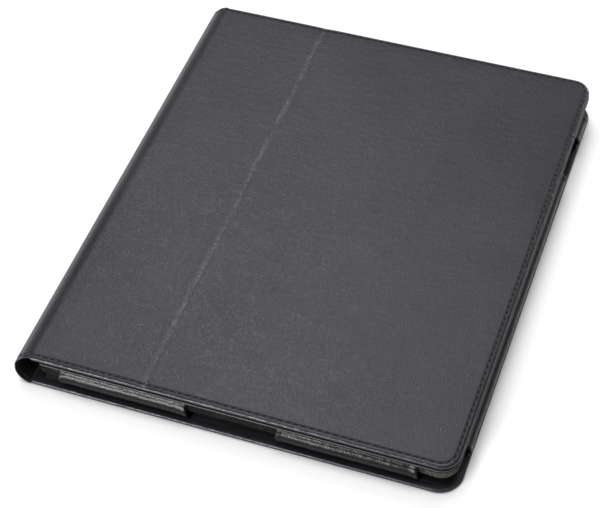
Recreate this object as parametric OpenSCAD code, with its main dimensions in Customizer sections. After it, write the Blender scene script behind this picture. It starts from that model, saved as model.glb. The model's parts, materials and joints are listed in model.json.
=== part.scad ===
// Folio stand case for a 9.7-inch tablet, closed and lying on its back.
// The spine is at -X, the free edge of the cover at +X and the dock end of the tablet at -Y.
// The back panel lies on Z = 0, and the origin is the middle of the underside.

/* [Tablet that the sleeve holds] */
// Length of the tablet, along Y
tablet_l = 241.2; // [200:0.1:290]
// Width of the tablet, along X
tablet_w = 185.7; // [150:0.1:225]
// Thickness of the tablet
tablet_t = 9.4; // [7.5:0.1:12]
// Clearance between the tablet's edges and the sleeve
tablet_gap = 1.0; // [0.3:0.1:2]
// Clearance above the tablet, under the bezel frame
tablet_slack = 1.4; // [0.5:0.1:2.5]

/* [Sheet materials] */
// Thickness of the leather
leather_t = 0.8; // [0.6:0.1:1]
// Thickness of the stiffening board in the panels
board_t = 1.0; // [0.8:0.1:1.5]
// Thickness of the lining cloth
lining_t = 0.5; // [0.4:0.1:0.7]
// Width of the leather hem that is turned in around a panel
hem_w = 9.0; // [6:0.5:12]
// Clearance around a board or a lining that lies inside the leather
fit_gap = 0.1; // [0.1:0.05:0.2]

/* [Stitching] */
// Width of the pressed line that a seam lies in
groove_w = 0.9; // [0.7:0.1:1.2]
// Depth of that line
groove_d = 0.3; // [0.2:0.05:0.4]
// Width of the thread
thread_w = 0.5; // [0.4:0.05:0.6]
// Height of the thread, which stays below the leather
thread_t = 0.25; // [0.1:0.05:0.25]
// Distance from a panel's edge to its seam
seam_inset = 2.3; // [2:0.1:4]

/* [Back panel] */
// How far the panel stands out past the gusset
panel_margin = 0.5; // [0.3:0.1:3]
// Radius of the panel's two free corners
panel_r = 11.0; // [9:0.5:20]
// Radius of the hole for the tablet's rear camera
camera_r = 7.0; // [5:0.5:8]
// Camera's distance in from the tablet's free side
camera_side = 13.2; // [11:0.1:18]
// Camera's distance in from the tablet's top end
camera_end = 14.5; // [12:0.1:20]

/* [Stand flap in the back panel] */
// Width of the flap that the cover's free edge slides under, from slit to root
stand_flap_w = 24.0; // [16:1:30]
// Length of the flap, along Y
stand_flap_l = 190.0; // [120:1:200]
// Clearance at the flap's root, which lets it turn
stand_root_gap = 0.4; // [0.3:0.05:0.6]
// Angle of each of the spine's folds when the case stands on its cover
stand_fold = 75; // [70:1:78]
// Clearance between the cover's free edge and the back panel on the stand
stand_gap = 0.5; // [0.3:0.1:1]
// Distance from the cover's free edge, on the stand, to the flap's slit
slit_gap = 2.2; // [1.8:0.1:4]

/* [Gusset of the sleeve] */
// How far the gusset stands out from the tablet's space
gusset_d = 2.9; // [2.5:0.1:4]
// Thickness of the gusset leather
gusset_t = 0.8; // [0.6:0.1:1]
// Outside radius of the gusset's rolled edges
gusset_r = 2.4; // [1.6:0.1:2.5]
// Start of the gusset from the open side of the sleeve
gusset_start = 6.0; // [4:0.5:12]
// Width of the cut-out for the dock plug, at the bottom end
dock_w = 42.0; // [30:1:60]
// Middle of the dock cut-out, from the tablet's middle
dock_shift = -5.7; // [-10:0.1:10]
// Length of gusset left out at the bottom corner, along the bottom end
corner_x = 14.6; // [12:0.1:25]
// Length of gusset left out at the bottom corner, along the free side
corner_y = 14.6; // [12:0.1:25]
// Length of gusset left out at the top corner, along the free side
top_corner_y = 16.6; // [12:0.1:25]
// Length of the cut-out for the volume and mute keys
volume_w = 26.0; // [20:1:45]
// Middle of the volume cut-out, from the tablet's middle
volume_y = 75.0; // [60:1:80]
// Length left open for the power key, from the free corner along the top end
power_x = 48.0; // [40:1:60]
// Length left open for the headphone jack, from the sleeve's open side
jack_x = 27.0; // [20:1:35]

/* [Bezel frame] */
// Thickness of the board in the bezel frame
bezel_board_t = 0.7; // [0.5:0.1:1]
// Width of the frame over the tablet's long sides
border_x = 16.9; // [14:0.1:22]
// Width of the frame over the tablet's ends
border_y = 20.6; // [18:0.1:26]
// How far the frame reaches past the sleeve's open side
bezel_reach = 3.9; // [2:0.1:6]
// How far the frame's edge stays inside the gusset
bezel_inset = 0.6; // [0.3:0.1:1]
// Radius of the frame's free corners
bezel_r = 9.0; // [6:0.5:14]
// Radius of the window's corners
window_r = 3.0; // [2:0.5:6]
// Distance from the window to its seam
window_seam = 1.8; // [1.5:0.1:3]
// Distance from the frame's edge to the seam that holds the gusset
sleeve_seam = 1.4; // [1.3:0.1:2]
// Radius of the hole for the home button
home_r = 7.0; // [5:0.5:7.5]
// Radius of the hole for the front camera
front_camera_r = 3.0; // [2:0.5:4]
// Distance of the home button and the front camera in from the tablet's ends
home_end = 10.3; // [9:0.1:11]

/* [Tuck flap that closes the sleeve] */
// Length of the flap, along Y
tuck_flap_l = 170.0; // [120:1:190]
// Clearance at the flap's root and under the bezel frame
tuck_gap = 0.3; // [0.2:0.1:0.5]
// Clearance between the opened flap and the spine
tuck_tip_gap = 1.25; // [1:0.05:3]

/* [Front cover] */
// Clearance between the closed cover and the bezel frame
cover_gap = 0.4; // [0.3:0.1:1]
// How far the cover's ends stay inside the back panel's
cover_end_inset = 1.0; // [0.5:0.1:3]
// How far the cover's free edge stays inside the back panel's
cover_side_inset = 1.3; // [0.5:0.1:3]
// Radius of the cover's two free corners
cover_r = 9.0; // [6:0.5:16]
// Width of the wide panel, from the crease to the free edge
wide_w = 142.7; // [110:0.1:160]
// Distance from the cover's edge to its lining
lining_inset = 1.8; // [1.5:0.1:3]
// Half of the gap between the leather panels at a crease
crease_gap = 0.5; // [0.45:0.05:0.8]
// Distance from a fold to the board beside it
board_back = 3.0; // [2.5:0.1:5]

/* [Spine] */
// Run of the lower sloping strip of the spine, sideways and upwards
fold_low = 4.8; // [4:0.1:6]
// Run of the upper sloping strip of the spine, sideways and upwards
fold_high = 6.2; // [5:0.1:7]
// Half of the gap between two strips, at the fold that joins them
strip_gap = 0.5; // [0.45:0.05:0.8]

/* [Hidden] */
$fn = 64;
eps = 0.01;
leather_c = "#3a3a3d";
gusset_c = "#303033";
lining_c = "#26262a";
board_c = "#8d8577";
thread_c = "#17171a";

// Heights, from the underside up
sheet_t = leather_t + lining_t;
hem_top = 2 * leather_t + board_t;
panel_t = hem_top + lining_t;
bezel_z = panel_t + tablet_t + tablet_slack;
bezel_t = leather_t + bezel_board_t + lining_t;
cover_z = bezel_z + bezel_t + cover_gap;
case_h = cover_z + panel_t;

// The tablet's space and the tuck flap beside it, measured from the free side
pocket_w = tablet_w + 2 * tablet_gap;
tuck_z = panel_t + tuck_gap + sheet_t / 2;
tuck_len = bezel_z - tuck_gap - tuck_z;
case_w = panel_margin + gusset_d + pocket_w + sheet_t / 2 + tuck_len + tuck_tip_gap + fold_low + sheet_t / 2;

// Positions along X
side_x = case_w / 2;
gusset_x = side_x - panel_margin;
pocket_x1 = gusset_x - gusset_d;
pocket_x0 = pocket_x1 - pocket_w;
tablet_x = (pocket_x0 + pocket_x1) / 2;
tuck_x = pocket_x0 - sheet_t / 2;
spine_x = -side_x + sheet_t / 2;
cover_x = side_x - cover_side_inset;
crease_x = cover_x - wide_w;
bezel_x0 = pocket_x0 - bezel_reach;
bezel_x1 = gusset_x - bezel_inset;
camera_x = pocket_x1 - tablet_gap - camera_side;

// Positions along Y, which are the same to both sides
pocket_y = tablet_l / 2 + tablet_gap;
gusset_y = pocket_y + gusset_d;
panel_y = gusset_y + panel_margin;
cover_y = panel_y - cover_end_inset;
bezel_y = gusset_y - bezel_inset;
camera_y = tablet_l / 2 - camera_end;
home_y = tablet_l / 2 - home_end;

// Fold lines of the spine as [x, z], from the back panel up to the cover, and the cover's crease
fold_a = [spine_x + fold_low, sheet_t / 2];
fold_b = [spine_x, sheet_t / 2 + fold_low];
fold_c = [spine_x, case_h - sheet_t / 2 - fold_high];
fold_d = [spine_x + fold_high, case_h - sheet_t / 2];
crease = [crease_x, case_h - leather_t / 2];

// Where the cover's free edge meets the back panel when the case stands
function turned(v, a) = [v.x * cos(a) - v.y * sin(a), v.x * sin(a) + v.y * cos(a)];
stand_crease = fold_a + turned(fold_b - fold_a, stand_fold) + turned(fold_c - fold_b, 2 * stand_fold)
    + turned(fold_d - fold_c, 3 * stand_fold) + turned(crease - fold_d, 4 * stand_fold);
edge_arm = [wide_w, leather_t / 2];
stand_tilt = asin((-stand_gap - stand_crease.y) / norm(edge_arm)) - atan2(edge_arm.y, edge_arm.x);
slit_x = stand_crease.x + turned(edge_arm, stand_tilt).x + slit_gap;

// Outline with square corners at x0 and round corners at x1
module outline(x0, x1, y, r) {
    translate([x0, -y])
        square([x1 - r - x0, 2 * y]);
    translate([x1 - r - eps, -y + r])
        square([r + eps, 2 * (y - r)]);
    for (s = [-1, 1])
        translate([x1 - r, s * (y - r)])
            circle(r);
}

// Rectangle with four round corners
module round_rect(x0, x1, y, r) {
    translate([x0, -y + r])
        square([x1 - x0, 2 * (y - r)]);
    translate([x0 + r, -y])
        square([x1 - x0 - 2 * r, 2 * y]);
    for (x = [x0 + r, x1 - r], s = [-1, 1])
        translate([x, s * (y - r)])
            circle(r);
}

// Flat sheet of a 2D shape, from height z up
module sheet(z, t) {
    translate([0, 0, z])
        linear_extrude(t)
            children();
}

// Line of a seam that runs along a panel's ends and its free side, w wide
module seam_line(x0, x1, y, r, inset, w) {
    difference() {
        outline(x0, x1 - inset + w / 2, y - inset + w / 2, r - inset + w / 2);
        outline(x0 - 1, x1 - inset - w / 2, y - inset - w / 2, r - inset - w / 2);
    }
}

// Lines of a seam that runs along the two ends only
module end_lines(x0, x1, y, inset, w) {
    for (s = [-1, 1])
        translate([x0, s * (y - inset) - w / 2])
            square([x1 - x0, w]);
}

// Leather of a panel that has a free side: outer face on Z = 0, edges turned up and in over the board
module free_side_shell(x0, x1, y, r) {
    difference() {
        sheet(0, hem_top)
            outline(x0, x1, y, r);
        sheet(leather_t, board_t)
            outline(x0 - 1, x1 - leather_t, y - leather_t, r - leather_t);
        sheet(leather_t, hem_top)
            outline(x0 - 1, x1 - hem_w, y - hem_w, 1);
        sheet(-1, 1 + groove_d)
            seam_line(x0 - 1, x1, y, r, seam_inset, groove_w);
    }
}

// Leather of the panel between the spine and the crease, turned in at its two ends
module strip_shell(x0, x1, y) {
    difference() {
        translate([x0, -y, 0])
            cube([x1 - x0, 2 * y, hem_top]);
        translate([x0 - 1, -y + leather_t, leather_t])
            cube([x1 - x0 + 2, 2 * (y - leather_t), board_t]);
        translate([x0 - 1, -y + hem_w, leather_t])
            cube([x1 - x0 + 2, 2 * (y - hem_w), hem_top]);
        sheet(-1, 1 + groove_d)
            end_lines(x0 - 1, x1 + 1, y, seam_inset, groove_w);
    }
}

// Turns a panel that was drawn outer face down into the cover's place
module as_cover() {
    translate([0, 0, case_h])
        mirror([0, 0, 1])
            children();
}

// Section of the gusset: wall with its two edges rolled inwards, drawn as [outwards, up]
module gusset_section() {
    h = bezel_z - hem_top;
    r_in = gusset_r - gusset_t;
    difference() {
        rolled_edge(gusset_d, h, gusset_r);
        translate([-1, gusset_t])
            rolled_edge(gusset_d - gusset_t + 1, h - 2 * gusset_t, r_in);
    }
}

// Rectangle whose two outer corners are round
module rolled_edge(d, h, r) {
    intersection() {
        square([d, h]);
        union() {
            square([d - r, h]);
            translate([0, r])
                square([d, h - 2 * r]);
            for (z = [r, h - r])
                translate([d - r, z])
                    circle(r);
        }
    }
}

// Gusset along an end of the tablet, on the side s, from x0 to x1
module end_gusset(s, x0, x1) {
    color(gusset_c)
        on_side(s)
            translate([x0, pocket_y, hem_top])
                rotate([90, 0, 90])
                    linear_extrude(x1 - x0)
                        gusset_section();
}

// Gusset along the free side, from y0 to y1
module side_gusset(y0, y1) {
    color(gusset_c)
        translate([pocket_x1, y1, hem_top])
            rotate([90, 0, 0])
                linear_extrude(y1 - y0)
                    gusset_section();
}

// Mirrors to the -Y side when s is -1
module on_side(s) {
    mirror([0, s < 0 ? 1 : 0, 0])
        children();
}

// Strip of the spine between two fold lines, upwards; t0 and t1 are its faces, from its middle outwards
module spine_strip(from, to, t0, t1) {
    run = to - from;
    angle = atan2(run.y, run.x);
    translate([from.x, -panel_y, from.y])
        rotate([0, -angle, 0])
            translate([strip_gap, 0, t0])
                cube([norm(run) - 2 * strip_gap, 2 * panel_y, t1 - t0]);
}

module spine_leather(from, to) {
    color(leather_c)
        spine_strip(from, to, sheet_t / 2 - leather_t, sheet_t / 2);
}

module spine_lining(from, to) {
    color(lining_c)
        spine_strip(from, to, -sheet_t / 2, sheet_t / 2 - leather_t);
}

// Window in the back panel's leather that the stand flap lies in
module flap_window() {
    translate([slit_x - fit_gap, -stand_flap_l / 2 - fit_gap])
        square([stand_flap_w + 2 * fit_gap, stand_flap_l + 2 * fit_gap]);
}

module back_leather() {
    color(leather_c)
        difference() {
            union() {
                free_side_shell(fold_a.x + strip_gap, side_x, panel_y, panel_r);
                translate([camera_x, camera_y, 0])
                    cylinder(h = hem_top, r = camera_r + leather_t);
            }
            translate([camera_x, camera_y, -1])
                cylinder(h = hem_top + 2, r = camera_r);
            sheet(-1, 1 + leather_t)
                flap_window();
            sheet(-1, 1 + groove_d)
                stand_seam(groove_w);
        }
}

module back_board() {
    color(board_c)
        difference() {
            sheet(leather_t, board_t)
                outline(fold_a.x + board_back, side_x - leather_t - fit_gap,
                        panel_y - leather_t - fit_gap, panel_r - leather_t - fit_gap);
            translate([camera_x, camera_y, 0])
                cylinder(h = hem_top, r = camera_r + leather_t + fit_gap);
        }
}

module back_lining() {
    color(lining_c)
        difference() {
            union() {
                sheet(hem_top, lining_t)
                    outline(fold_a.x + strip_gap, pocket_x1 - fit_gap, pocket_y - fit_gap, panel_r);
                sheet(hem_top - leather_t, leather_t + eps)
                    outline(fold_a.x + board_back, side_x - hem_w - fit_gap, panel_y - hem_w - fit_gap, 1);
            }
            translate([camera_x, camera_y, 0])
                cylinder(h = panel_t + 1, r = camera_r);
            translate([camera_x, camera_y, 0])
                cylinder(h = hem_top, r = camera_r + leather_t + fit_gap);
        }
}

module back_stitching() {
    color(thread_c)
        sheet(groove_d - thread_t, thread_t)
            seam_line(fold_a.x + strip_gap, side_x, panel_y, panel_r, seam_inset, thread_w);
}

// Seam round the three sewn sides of the stand flap
module stand_seam(w) {
    out = seam_inset;
    difference() {
        translate([slit_x, -stand_flap_l / 2 - out - w / 2])
            square([stand_flap_w + out + w / 2, stand_flap_l + 2 * out + w]);
        translate([slit_x - 1, -stand_flap_l / 2 - out + w / 2])
            square([1 + stand_flap_w + out - w / 2, stand_flap_l + 2 * out - w]);
    }
}

module stand_flap_leather() {
    color(leather_c)
        sheet(0, leather_t)
            translate([slit_x + fit_gap, -stand_flap_l / 2 + fit_gap])
                square([stand_flap_w - fit_gap - stand_root_gap, stand_flap_l - 2 * fit_gap]);
}

module stand_flap_stitching() {
    color(thread_c)
        sheet(groove_d - thread_t, thread_t)
            stand_seam(thread_w);
}

// Bezel frame in plan; grow is added to its solid sides, below 0 for what lies inside the leather
module bezel_plan(grow) {
    difference() {
        outline(bezel_x0 - grow, bezel_x1 + grow, bezel_y + grow, bezel_r + grow);
        window_plan(-grow);
        translate([tablet_x, -home_y])
            circle(home_r - grow);
        translate([tablet_x, home_y])
            circle(front_camera_r - grow);
    }
}

// The window in plan, made larger by grow on every side
module window_plan(grow) {
    round_rect(tablet_x - tablet_w / 2 + border_x - grow, tablet_x + tablet_w / 2 - border_x + grow,
               tablet_l / 2 - border_y + grow, window_r + grow);
}

module window_seam_line(w) {
    difference() {
        window_plan(window_seam + w / 2);
        window_plan(window_seam - w / 2);
    }
}

module sleeve_seam_line(w) {
    seam_line(bezel_x0 + sleeve_seam, bezel_x1, bezel_y, bezel_r, sleeve_seam, w);
}

module bezel_leather() {
    top = bezel_z + bezel_t;
    color(leather_c)
        difference() {
            sheet(bezel_z + lining_t, leather_t + bezel_board_t)
                bezel_plan(0);
            sheet(bezel_z, lining_t + bezel_board_t)
                bezel_plan(-leather_t);
            sheet(top - groove_d, groove_d + 1)
                window_seam_line(groove_w);
            sheet(top - groove_d, groove_d + 1)
                sleeve_seam_line(groove_w);
        }
}

module bezel_board() {
    color(board_c)
        sheet(bezel_z + lining_t, bezel_board_t)
            bezel_plan(-leather_t - fit_gap);
}

module bezel_lining() {
    color(lining_c)
        sheet(bezel_z, lining_t)
            bezel_plan(-fit_gap);
}

module window_stitching() {
    color(thread_c)
        sheet(bezel_z + bezel_t - groove_d, thread_t)
            window_seam_line(thread_w);
}

module sleeve_stitching() {
    color(thread_c)
        sheet(bezel_z + bezel_t - groove_d, thread_t)
            sleeve_seam_line(thread_w);
}

module gusset_bottom_left() {
    end_gusset(-1, pocket_x0 + gusset_start, tablet_x + dock_shift - dock_w / 2);
}

module gusset_bottom_right() {
    end_gusset(-1, tablet_x + dock_shift + dock_w / 2, pocket_x1 - corner_x);
}

module gusset_side_lower() {
    side_gusset(-pocket_y + corner_y, volume_y - volume_w / 2);
}

module gusset_side_upper() {
    side_gusset(volume_y + volume_w / 2, pocket_y - top_corner_y);
}

module gusset_top() {
    end_gusset(1, pocket_x0 + jack_x, pocket_x1 - power_x);
}

module spine_low_leather() {
    spine_leather(fold_a, fold_b);
}

module spine_low_lining() {
    spine_lining(fold_a, fold_b);
}

module spine_mid_leather() {
    spine_leather(fold_b, fold_c);
}

module spine_mid_lining() {
    spine_lining(fold_b, fold_c);
}

module spine_high_leather() {
    spine_leather(fold_c, fold_d);
}

module spine_high_lining() {
    spine_lining(fold_c, fold_d);
}

module narrow_cover_leather() {
    color(leather_c)
        as_cover()
            strip_shell(fold_d.x + strip_gap, crease_x - crease_gap, cover_y);
}

module narrow_cover_board() {
    x0 = fold_d.x + board_back;
    y = cover_y - leather_t - fit_gap;
    color(board_c)
        as_cover()
            translate([x0, -y, leather_t])
                cube([crease_x - board_back - x0, 2 * y, board_t]);
}

module narrow_cover_lining() {
    x0 = fold_d.x + strip_gap;
    x1 = crease_x - crease_gap;
    y = cover_y - lining_inset;
    plug_y = cover_y - hem_w - fit_gap;
    color(lining_c)
        as_cover()
            union() {
                translate([x0, -y, hem_top])
                    cube([x1 - x0, 2 * y, lining_t]);
                translate([x0 + board_back, -plug_y, hem_top - leather_t])
                    cube([x1 - x0 - 2 * board_back, 2 * plug_y, leather_t + eps]);
            }
}

module narrow_cover_stitching() {
    color(thread_c)
        as_cover()
            sheet(groove_d - thread_t, thread_t)
                end_lines(fold_d.x + strip_gap, crease_x - crease_gap, cover_y, seam_inset, thread_w);
}

module wide_cover_leather() {
    color(leather_c)
        as_cover()
            free_side_shell(crease_x + crease_gap, cover_x, cover_y, cover_r);
}

module wide_cover_board() {
    inset = leather_t + fit_gap;
    color(board_c)
        as_cover()
            sheet(leather_t, board_t)
                outline(crease_x + board_back, cover_x - inset, cover_y - inset, cover_r - inset);
}

module wide_cover_lining() {
    color(lining_c)
        as_cover()
            union() {
                sheet(hem_top, lining_t)
                    outline(crease_x + crease_gap, cover_x - lining_inset, cover_y - lining_inset,
                            cover_r - lining_inset);
                sheet(hem_top - leather_t, leather_t + eps)
                    outline(crease_x + board_back, cover_x - hem_w - fit_gap, cover_y - hem_w - fit_gap, 1);
            }
}

module wide_cover_stitching() {
    color(thread_c)
        as_cover()
            sheet(groove_d - thread_t, thread_t)
                seam_line(crease_x + crease_gap, cover_x, cover_y, cover_r, seam_inset, thread_w);
}

module tuck_flap_leather() {
    color(gusset_c)
        translate([tuck_x - sheet_t / 2, -tuck_flap_l / 2, tuck_z])
            cube([leather_t, tuck_flap_l, tuck_len]);
}

module tuck_flap_lining() {
    color(lining_c)
        translate([tuck_x - sheet_t / 2 + leather_t, -tuck_flap_l / 2, tuck_z])
            cube([lining_t, tuck_flap_l, tuck_len]);
}

back_leather();
back_board();
back_lining();
back_stitching();
bezel_leather();
bezel_board();
bezel_lining();
window_stitching();
sleeve_stitching();
gusset_bottom_left();
gusset_bottom_right();
gusset_side_lower();
gusset_side_upper();
gusset_top();
spine_low_leather();
spine_low_lining();
spine_mid_leather();
spine_mid_lining();
spine_high_leather();
spine_high_lining();
narrow_cover_leather();
narrow_cover_board();
narrow_cover_lining();
narrow_cover_stitching();
wide_cover_leather();
wide_cover_board();
wide_cover_lining();
wide_cover_stitching();
tuck_flap_leather();
tuck_flap_lining();
stand_flap_leather();
stand_flap_stitching();
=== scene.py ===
"""The looks of a folio case for a tablet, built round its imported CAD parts.

Lengths are in millimetres, and each mesh is turned into metres as it is made. On the real case the outer
leather is one sheet that runs under the case, round the spine and over the cover. Here it is made in strips
that share the points where they meet, and each strip bends across one fold only.
"""

import json
import math
import random

import bmesh
import bpy
import numpy as np
from mathutils import Matrix, Vector, noise
from mathutils.geometry import tessellate_polygon


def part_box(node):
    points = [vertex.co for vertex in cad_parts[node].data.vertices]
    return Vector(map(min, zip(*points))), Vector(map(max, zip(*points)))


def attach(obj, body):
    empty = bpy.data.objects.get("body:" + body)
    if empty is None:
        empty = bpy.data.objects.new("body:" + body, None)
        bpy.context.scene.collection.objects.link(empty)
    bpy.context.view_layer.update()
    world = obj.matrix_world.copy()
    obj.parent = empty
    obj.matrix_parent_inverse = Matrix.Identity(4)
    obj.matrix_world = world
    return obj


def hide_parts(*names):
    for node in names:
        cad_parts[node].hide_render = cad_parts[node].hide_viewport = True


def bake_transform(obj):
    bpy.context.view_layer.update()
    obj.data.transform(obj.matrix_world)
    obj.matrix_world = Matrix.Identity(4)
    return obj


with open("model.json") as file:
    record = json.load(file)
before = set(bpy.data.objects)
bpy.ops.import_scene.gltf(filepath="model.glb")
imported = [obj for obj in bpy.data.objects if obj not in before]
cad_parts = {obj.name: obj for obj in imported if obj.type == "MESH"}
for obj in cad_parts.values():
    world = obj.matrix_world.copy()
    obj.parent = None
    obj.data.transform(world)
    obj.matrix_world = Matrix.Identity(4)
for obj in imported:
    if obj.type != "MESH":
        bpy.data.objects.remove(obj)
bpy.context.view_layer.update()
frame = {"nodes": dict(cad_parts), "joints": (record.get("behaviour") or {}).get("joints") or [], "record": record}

MM = 0.001


def span(node):
    """Lowest and highest corner of a CAD node, in mm."""
    lo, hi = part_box(node)
    return Vector(lo) / MM, Vector(hi) / MM


def fold_point(joint):
    """Place of a fold line as (x, z), in mm."""
    found = next(j for j in frame["joints"] if j["name"] == joint)
    x, _, z = found["pos_m"]
    return Vector((x / MM, z / MM))


# Sheets
LEATHER = 0.8
LINING = 0.5
HALF_SHEET = (LEATHER + LINING) / 2

# Places from the CAD
BACK_HI = span("back_leather")[1]
NARROW_HI = span("narrow_cover_leather")[1]
WIDE_HI = span("wide_cover_leather")[1]
BEZEL_LO, BEZEL_HI = span("bezel_leather")
SPINE_FOLDS = ("back_fold", "lower_spine_fold", "upper_spine_fold", "cover_fold")
FOLDS = {name: fold_point(name) for name in SPINE_FOLDS}
CREASE_X, CREASE_Z = fold_point("crease_fold")
HEM_T = BACK_HI.z
TOP_Z = WIDE_HI.z

# Corner radii
BACK_R = 11.0
COVER_R = 9.0
FRAME_R = 9.0

# Where the strips of the outer leather meet
BACK_CUT = FOLDS["back_fold"].x + 7.5
COVER_CUT = FOLDS["cover_fold"].x + 9.0
CREASE_HALF = 6.0

# Seams
SEAM_INSET = 2.3
GROOVE_DEPTH = 0.34
THREAD_SUNK = GROOVE_DEPTH - 0.12
STITCH_PITCH = 3.6
STITCH_LENGTH = 2.6
THREAD_HALF_WIDTH = 0.27
THREAD_HALF_HEIGHT = 0.17


def smooth(t):
    """Rises from 0 to 1 as t does, level at both ends."""
    t = min(max(t, 0.0), 1.0)
    return t * t * (3 - 2 * t)


def bell(x, width):
    return math.exp(-((x / width) ** 2))


def wave(x, y, size, seed=0.0):
    """Soft noise from -1 to 1, with lumps of about that size in mm."""
    return noise.noise(Vector((x / size, y / size, seed)))


def steps(a, b, size):
    """Numbers from a to b, about size apart."""
    count = max(1, round(abs(b - a) / size))
    return [a + (b - a) * i / count for i in range(count + 1)]


# ---- meshes


class Shell:
    """Collects the points and faces of one mesh, in mm."""

    def __init__(self):
        self.points = []
        self.wear_and_light = []
        self.faces = []
        self.slots = []

    def row(self, points, wear_and_light=0.0):
        """Adds points and gives their numbers. wear_and_light goes up to 1 for rubbed leather and for painted
        light, and down to -1 for painted shade in the seams' grooves.
        """
        first = len(self.points)
        self.points.extend(Vector(p) for p in points)
        self.wear_and_light.extend(wear_and_light if isinstance(wear_and_light, list) else [wear_and_light] * len(points))
        return list(range(first, len(self.points)))

    def ring(self, loop, z, wear_and_light=0.0):
        """Adds a row through those (x, y), all at one height."""
        return self.row([(x, y, z) for x, y in loop], wear_and_light)

    def skin(self, rows, closed=False, slot=0):
        """Quads between rows of the same length. closed joins the ends of each row."""
        for a, b in zip(rows, rows[1:]):
            for i in range(len(a) if closed else len(a) - 1):
                j = (i + 1) % len(a)
                self.faces.append((a[i], a[j], b[j], b[i]))
                self.slots.append(slot)

    def fill(self, loops, slot=0):
        """Triangles over the flat region inside the first loop and outside the others."""
        numbers = [i for loop in loops for i in loop]
        for triangle in tessellate_polygon([[self.points[i] for i in loop] for loop in loops]):
            self.faces.append(tuple(numbers[i] for i in triangle))
            self.slots.append(slot)

    def piece(self, name, *materials):
        """The mesh as an object, in metres, with shared points joined."""
        bm = bmesh.new()
        rub_and_light = bm.verts.layers.float.new("wear_and_light")
        made = []
        for point, wear_and_light in zip(self.points, self.wear_and_light):
            vert = bm.verts.new(point * MM)
            vert[rub_and_light] = wear_and_light
            made.append(vert)
        for numbers, slot in zip(self.faces, self.slots):
            corners = [made[i] for i in numbers]
            if len(set(corners)) > 2 and bm.faces.get(corners) is None:
                face = bm.faces.new(corners)
                face.material_index = slot
                face.smooth = True
        bmesh.ops.remove_doubles(bm, verts=bm.verts, dist=0.002 * MM)
        bmesh.ops.dissolve_degenerate(bm, edges=bm.edges, dist=0.001 * MM)
        bmesh.ops.recalc_face_normals(bm, faces=bm.faces)
        middle = sum((vert.co for vert in bm.verts), Vector()) / len(bm.verts)
        facing = 0.0
        for face in bm.faces:
            facing += face.normal.dot(face.calc_center_median() - middle) * face.calc_area()
        if facing < 0:
            bmesh.ops.reverse_faces(bm, faces=bm.faces)
        mesh = bpy.data.meshes.new(name)
        bm.to_mesh(mesh)
        bm.free()
        rest = mesh.attributes.new("rest", "FLOAT_VECTOR", "POINT")
        places = np.empty(len(mesh.vertices) * 3, np.float32)
        mesh.vertices.foreach_get("co", places)
        rest.data.foreach_set("vector", places)
        for material in materials:
            mesh.materials.append(material)
        obj = bpy.data.objects.new(name, mesh)
        bpy.context.scene.collection.objects.link(obj)
        return obj


def settle(obj, body=None, replaces=()):
    """Attaches a piece to its body, or else bakes its transform in place, and hides the CAD parts that it
    replaces.
    """
    if body:
        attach(obj, body)
    else:
        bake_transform(obj)
    if replaces:
        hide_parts(*replaces)
    return obj


# ---- sections


def edge_profile(thick, reach, seam=SEAM_INSET, roll=1.8, line=0.0, rim_drop=0.10):
    """Section of a turned leather edge, from the outer face round to the inner face.

    Gives (inset from the edge, depth below the outer face, wear_and_light): the last is rubbing on the roll,
    and below 0 it is painted shade in the seam's groove. The outer face runs to inset reach and carries the
    pressed groove of the seam, if there is one, and rolls over within the inset roll. line is the strength of a
    pressed line half way down the side.
    """
    rows = []
    drop = 0.0
    roll = min(roll, 1.1 * thick)
    groove = 0.0 if seam is None else GROOVE_DEPTH * min(1, thick / 1.5)
    if seam is None:
        rows.append((reach, 0.0, 0.0))
    else:
        spread = (1.6, 1.05, 0.7, 0.42, 0.2, 0.0, -0.2, -0.42)
        drop = rim_drop
        for inset in [reach] + [seam + s for s in spread if roll + 0.02 < seam + s < reach - 0.2]:
            depth = groove * bell(inset - seam, 0.42) + drop * smooth((seam + 0.4 - inset) / 0.8)
            # painted shade: the value goes below 0 at the seam's groove, which colours it nearly black
            rows.append((inset, depth, -bell(inset - seam, 0.5)))
    turns = 10
    upper = thick * 0.55 - drop
    lower = thick - thick * 0.55
    under = min(0.9, thick / 2)
    for i in range(turns + 1):
        angle = math.pi / 2 * i / turns
        inset = roll * (1 - math.sin(angle))
        depth = drop + upper * (1 - math.cos(angle))
        if seam is not None:
            depth += groove * bell(inset - seam, 0.42)
        inset += line * 0.30 * bell(depth - thick * 0.5, 0.22)
        rub_and_light = math.sin(angle) ** 0.5 * (1 - 0.6 * (i / turns) ** 3)
        # rubbed on the roll, less the painted shade of the seam's groove
        rows.append((inset, depth, rub_and_light if seam is None else rub_and_light - 1.5 * bell(inset - seam, 0.5)))
    for i in range(1, turns + 1):
        angle = math.pi / 2 * i / turns
        depth = thick * 0.55 + lower * math.sin(angle)
        inset = under * (1 - math.cos(angle)) + line * 0.30 * bell(depth - thick * 0.5, 0.22)
        rows.append((inset, depth, 0.4 * (1 - i / turns) + line * 0.5 * math.sin(2 * angle)))
    rows.append((max(3.2, under + 0.5), thick, 0.0))
    if reach > 4:
        rows.append((reach, thick, 0.0))
    return rows


def cross_section(y_edge, thick, reach, middle, line=0.0):
    """Section of a panel or the spine across its two ends, as (y, depth, inset, wear_and_light).

    The points run from the inner face at -Y round that end, over the outer face and round the other end.
    middle is how many points lie on the outer face between the two ends.
    """
    edge = edge_profile(thick, reach, line=line)
    flat = y_edge - reach
    left = [(-y_edge + d, h, d, w) for d, h, w in reversed(edge)]
    inner = [(flat * (2 * (i + 1) / (middle + 1) - 1), 0.0, reach + 9, 0.0) for i in range(middle)]
    right = [(y_edge - d, h, d, w) for d, h, w in edge]
    return left + inner + right


MIDDLE_POINTS = 57


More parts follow.
